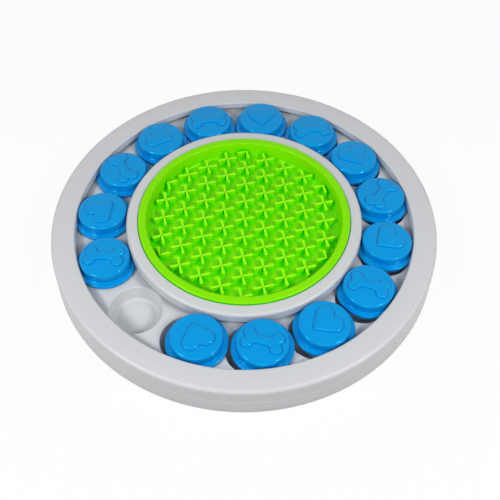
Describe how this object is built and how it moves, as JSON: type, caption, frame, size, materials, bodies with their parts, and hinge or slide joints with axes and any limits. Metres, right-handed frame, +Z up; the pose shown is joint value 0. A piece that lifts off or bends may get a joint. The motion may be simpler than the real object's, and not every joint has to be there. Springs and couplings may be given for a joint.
{
  "type": "dog puzzle feeder toy",
  "caption": "Round dog puzzle feeder: sliders with raised bones and hearts travel a ring track over treat pockets, round a lick mat.",
  "frame": {"origin": "on the table plane under the feet, on the axis of the round toy", "axes": "+Z up; the free treat pocket lies towards -X -Y, at 225.5 degrees from +X"},
  "size_m": [0.3, 0.3, 0.0337],
  "materials": {
    "shell_grey": "fine spark-eroded satin, injection moulded ABS",
    "slider_blue": "semi-gloss injection moulded ABS",
    "mat_green": "satin moulded silicone",
    "foot_rubber": "matt moulded rubber",
    "screw_steel": "zinc-plated steel"
  },
  "bodies": {
    "housing": {"base_tray": "shell_grey", "rim_cover": "shell_grey", "center_ring": "shell_grey", "rim_screws": "screw_steel", "ring_screws": "screw_steel", "pocket_cup_1": "shell_grey", "pocket_cup_2": "shell_grey", "pocket_cup_3": "shell_grey", "pocket_cup_4": "shell_grey", "pocket_cup_5": "shell_grey", "pocket_cup_6": "shell_grey", "pocket_cup_7": "shell_grey", "pocket_cup_8": "shell_grey", "pocket_cup_9": "shell_grey", "pocket_cup_10": "shell_grey", "pocket_cup_11": "shell_grey", "pocket_cup_12": "shell_grey", "pocket_cup_13": "shell_grey", "pocket_cup_14": "shell_grey", "pocket_cup_15": "shell_grey", "rubber_foot_1": "foot_rubber", "rubber_foot_2": "foot_rubber", "rubber_foot_3": "foot_rubber", "rubber_foot_4": "foot_rubber", "rubber_foot_5": "foot_rubber"},
    "lick_mat": {"lick_mat": "mat_green"},
    "bone_slider_1": {"bone_slider_1": "slider_blue"},
    "heart_slider_1": {"heart_slider_1": "slider_blue"},
    "bone_slider_2": {"bone_slider_2": "slider_blue"},
    "heart_slider_2": {"heart_slider_2": "slider_blue"},
    "bone_slider_3": {"bone_slider_3": "slider_blue"},
    "heart_slider_3": {"heart_slider_3": "slider_blue"},
    "bone_slider_4": {"bone_slider_4": "slider_blue"},
    "heart_slider_4": {"heart_slider_4": "slider_blue"},
    "bone_slider_5": {"bone_slider_5": "slider_blue"},
    "heart_slider_5": {"heart_slider_5": "slider_blue"},
    "bone_slider_6": {"bone_slider_6": "slider_blue"},
    "heart_slider_6": {"heart_slider_6": "slider_blue"},
    "bone_slider_7": {"bone_slider_7": "slider_blue"},
    "heart_slider_7": {"heart_slider_7": "slider_blue"}
  },
  "joints": [
    {"name": "lick_mat_lift", "type": "slide", "parent": "housing", "child": "lick_mat", "axis": [0, 0, 1], "range_m": [0, 0.04]},
    {"name": "heart_slider_1_travel", "type": "hinge", "parent": "housing", "child": "heart_slider_1", "pos_m": [0, 0, 0.0198], "axis": [0, 0, 1], "continuous": true},
    {"name": "bone_slider_1_step", "type": "hinge", "parent": "heart_slider_1", "child": "bone_slider_1", "pos_m": [0, 0, 0.0198], "axis": [0, 0, 1], "range_deg": [0, 28.9]},
    {"name": "bone_slider_2_travel", "type": "hinge", "parent": "housing", "child": "bone_slider_2", "pos_m": [0, 0, 0.0198], "axis": [0, 0, 1], "continuous": true},
    {"name": "heart_slider_2_travel", "type": "hinge", "parent": "housing", "child": "heart_slider_2", "pos_m": [0, 0, 0.0198], "axis": [0, 0, 1], "continuous": true},
    {"name": "bone_slider_3_travel", "type": "hinge", "parent": "housing", "child": "bone_slider_3", "pos_m": [0, 0, 0.0198], "axis": [0, 0, 1], "continuous": true},
    {"name": "heart_slider_3_travel", "type": "hinge", "parent": "housing", "child": "heart_slider_3", "pos_m": [0, 0, 0.0198], "axis": [0, 0, 1], "continuous": true},
    {"name": "bone_slider_4_travel", "type": "hinge", "parent": "housing", "child": "bone_slider_4", "pos_m": [0, 0, 0.0198], "axis": [0, 0, 1], "continuous": true},
    {"name": "heart_slider_4_travel", "type": "hinge", "parent": "housing", "child": "heart_slider_4", "pos_m": [0, 0, 0.0198], "axis": [0, 0, 1], "continuous": true},
    {"name": "bone_slider_5_travel", "type": "hinge", "parent": "housing", "child": "bone_slider_5", "pos_m": [0, 0, 0.0198], "axis": [0, 0, 1], "continuous": true},
    {"name": "heart_slider_5_travel", "type": "hinge", "parent": "housing", "child": "heart_slider_5", "pos_m": [0, 0, 0.0198], "axis": [0, 0, 1], "continuous": true},
    {"name": "bone_slider_6_travel", "type": "hinge", "parent": "housing", "child": "bone_slider_6", "pos_m": [0, 0, 0.0198], "axis": [0, 0, 1], "continuous": true},
    {"name": "heart_slider_6_travel", "type": "hinge", "parent": "housing", "child": "heart_slider_6", "pos_m": [0, 0, 0.0198], "axis": [0, 0, 1], "continuous": true},
    {"name": "bone_slider_7_travel", "type": "hinge", "parent": "housing", "child": "bone_slider_7", "pos_m": [0, 0, 0.0198], "axis": [0, 0, 1], "continuous": true},
    {"name": "heart_slider_7_travel", "type": "hinge", "parent": "housing", "child": "heart_slider_7", "pos_m": [0, 0, 0.0198], "axis": [0, 0, 1], "continuous": true}
  ],
  "couplings": [
    {"joint": "bone_slider_2_travel", "follows": "heart_slider_1_travel", "ratio": 1},
    {"joint": "heart_slider_2_travel", "follows": "heart_slider_1_travel", "ratio": 1},
    {"joint": "bone_slider_3_travel", "follows": "heart_slider_1_travel", "ratio": 1},
    {"joint": "heart_slider_3_travel", "follows": "heart_slider_1_travel", "ratio": 1},
    {"joint": "bone_slider_4_travel", "follows": "heart_slider_1_travel", "ratio": 1},
    {"joint": "heart_slider_4_travel", "follows": "heart_slider_1_travel", "ratio": 1},
    {"joint": "bone_slider_5_travel", "follows": "heart_slider_1_travel", "ratio": 1},
    {"joint": "heart_slider_5_travel", "follows": "heart_slider_1_travel", "ratio": 1},
    {"joint": "bone_slider_6_travel", "follows": "heart_slider_1_travel", "ratio": 1},
    {"joint": "heart_slider_6_travel", "follows": "heart_slider_1_travel", "ratio": 1},
    {"joint": "bone_slider_7_travel", "follows": "heart_slider_1_travel", "ratio": 1},
    {"joint": "heart_slider_7_travel", "follows": "heart_slider_1_travel", "ratio": 1}
  ]
}
